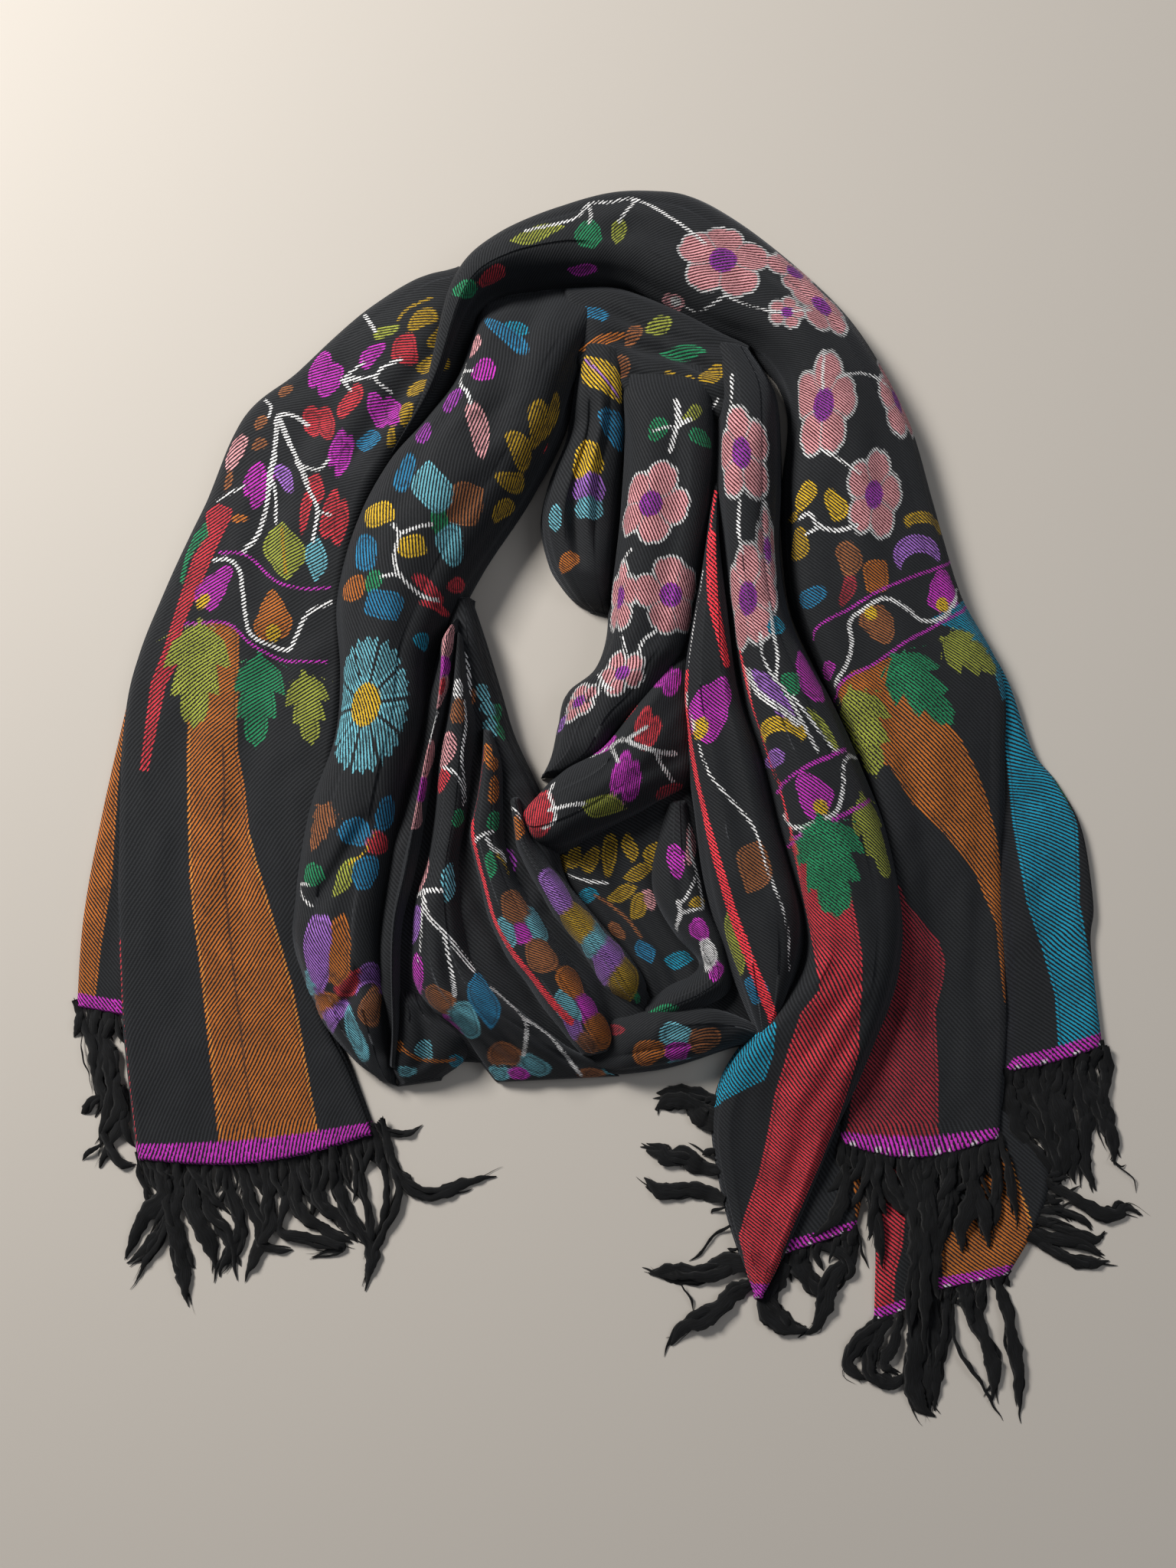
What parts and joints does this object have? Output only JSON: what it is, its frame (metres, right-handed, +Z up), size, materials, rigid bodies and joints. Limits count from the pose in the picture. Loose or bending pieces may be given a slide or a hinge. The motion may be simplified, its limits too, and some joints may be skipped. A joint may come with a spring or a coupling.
{
  "type": "kani stole",
  "caption": "Long woven wool stole with flowers, coloured border stripes and fringed hems, lying on a floor as a loop round an open neck with both ends crossed at the back.",
  "frame": {"origin": "middle of the whole object's box in plan, on the plane that the cloth rests on", "axes": "+Z up from the floor, +Y from the fringed hems towards the back of the neck, +X to the right seen from above"},
  "size_m": [0.5187, 0.6042, 0.0395],
  "materials": {
    "flowered_wool": "matt wool twill, near black, with woven flowers, leaves and vines",
    "striped_wool": "matt wool twill with orange, red and teal stripes and magenta hems",
    "fringe_wool": "loose twisted black wool"
  },
  "bodies": {
    "root": {"centre_tail": "striped_wool", "right_tail": "flowered_wool", "left_turn": "flowered_wool", "border_band": "flowered_wool", "smooth_fold": "flowered_wool", "front_folds": "flowered_wool", "right_turn": "flowered_wool", "under_fold": "flowered_wool", "neck_folds": "flowered_wool", "front_hollow": "flowered_wool", "back_folds": "flowered_wool", "left_tail": "striped_wool", "left_tail_back": "striped_wool", "right_corner": "striped_wool", "centre_tail_back": "striped_wool", "lower_corner": "striped_wool", "lower_corner_under": "striped_wool", "left_tail_fringe": "fringe_wool", "left_tail_back_fringe": "fringe_wool", "right_corner_fringe": "fringe_wool", "side_fringe": "fringe_wool", "right_tail_fringe": "fringe_wool", "lower_corner_fringe": "fringe_wool", "lower_corner_under_fringe": "fringe_wool", "centre_tail_fringe": "fringe_wool", "centre_tail_back_fringe": "fringe_wool"}
  },
  "joints": []
}
